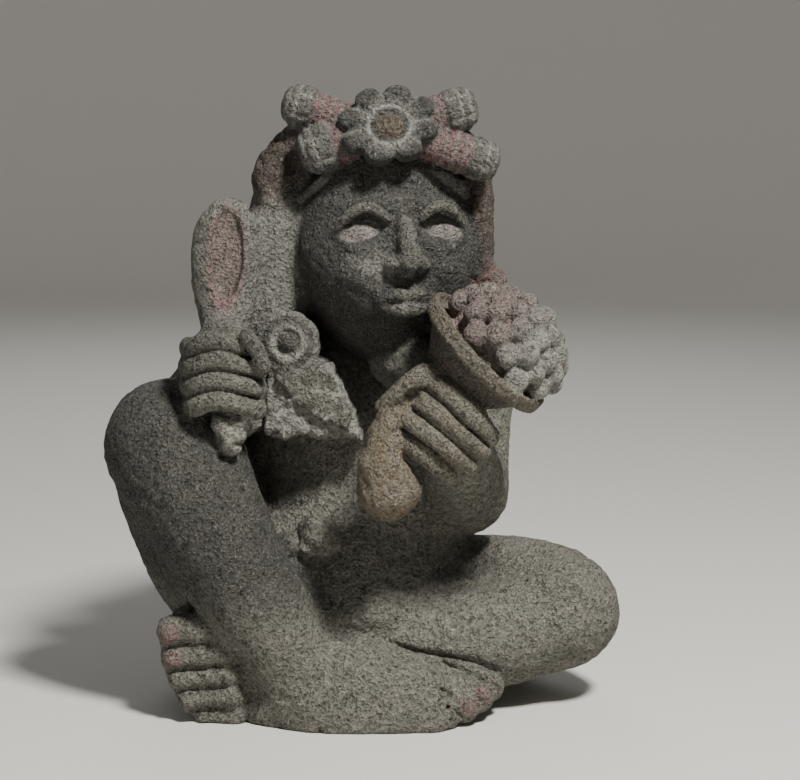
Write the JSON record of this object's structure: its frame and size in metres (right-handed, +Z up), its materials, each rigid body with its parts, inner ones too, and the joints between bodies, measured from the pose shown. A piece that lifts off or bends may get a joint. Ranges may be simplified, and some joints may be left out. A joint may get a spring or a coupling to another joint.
{
  "type": "seated stone figure",
  "caption": "Seated figure carved from one block of basalt, one knee raised, holding a blade-topped staff and a bouquet of blossoms below a flowered headdress",
  "frame": {"origin": "on the ground plane, under the middle of the figure's bounding box", "axes": "+Z up; the torso faces -Y; +X points towards the figure's left hand"},
  "size_m": [0.4378, 0.3342, 0.5305],
  "materials": {
    "basalt": "weathered vesicular basalt, pitted, with worn traces of red paint"
  },
  "bodies": {
    "root": {"seated_figure": "basalt"}
  },
  "joints": []
}
